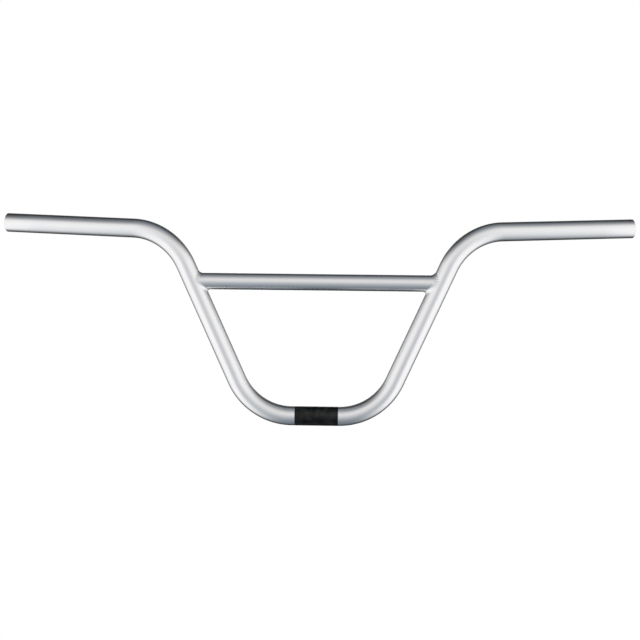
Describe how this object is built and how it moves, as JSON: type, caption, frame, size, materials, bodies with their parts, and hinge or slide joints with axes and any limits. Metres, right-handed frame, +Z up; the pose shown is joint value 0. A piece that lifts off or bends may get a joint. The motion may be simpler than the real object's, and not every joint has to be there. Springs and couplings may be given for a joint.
{
  "type": "bmx handlebar",
  "caption": "Four-bend steel BMX handlebar with a welded crossbar, a knurled stem clamp area and open grip ends.",
  "frame": {"origin": "middle of the stem clamp, on the bent tube's axis", "axes": "+X along the clamp towards the right grip in the front view, +Z up the rise, +Y towards the rider, the way the grips sweep back"},
  "size_m": [0.7442, 0.0607, 0.2442],
  "materials": {
    "satin_silver": "satin",
    "knurl_black": "satin"
  },
  "bodies": {
    "root": {"main_tube": "satin_silver", "crossbar": "satin_silver", "weld_left": "satin_silver", "weld_right": "satin_silver"}
  },
  "joints": []
}
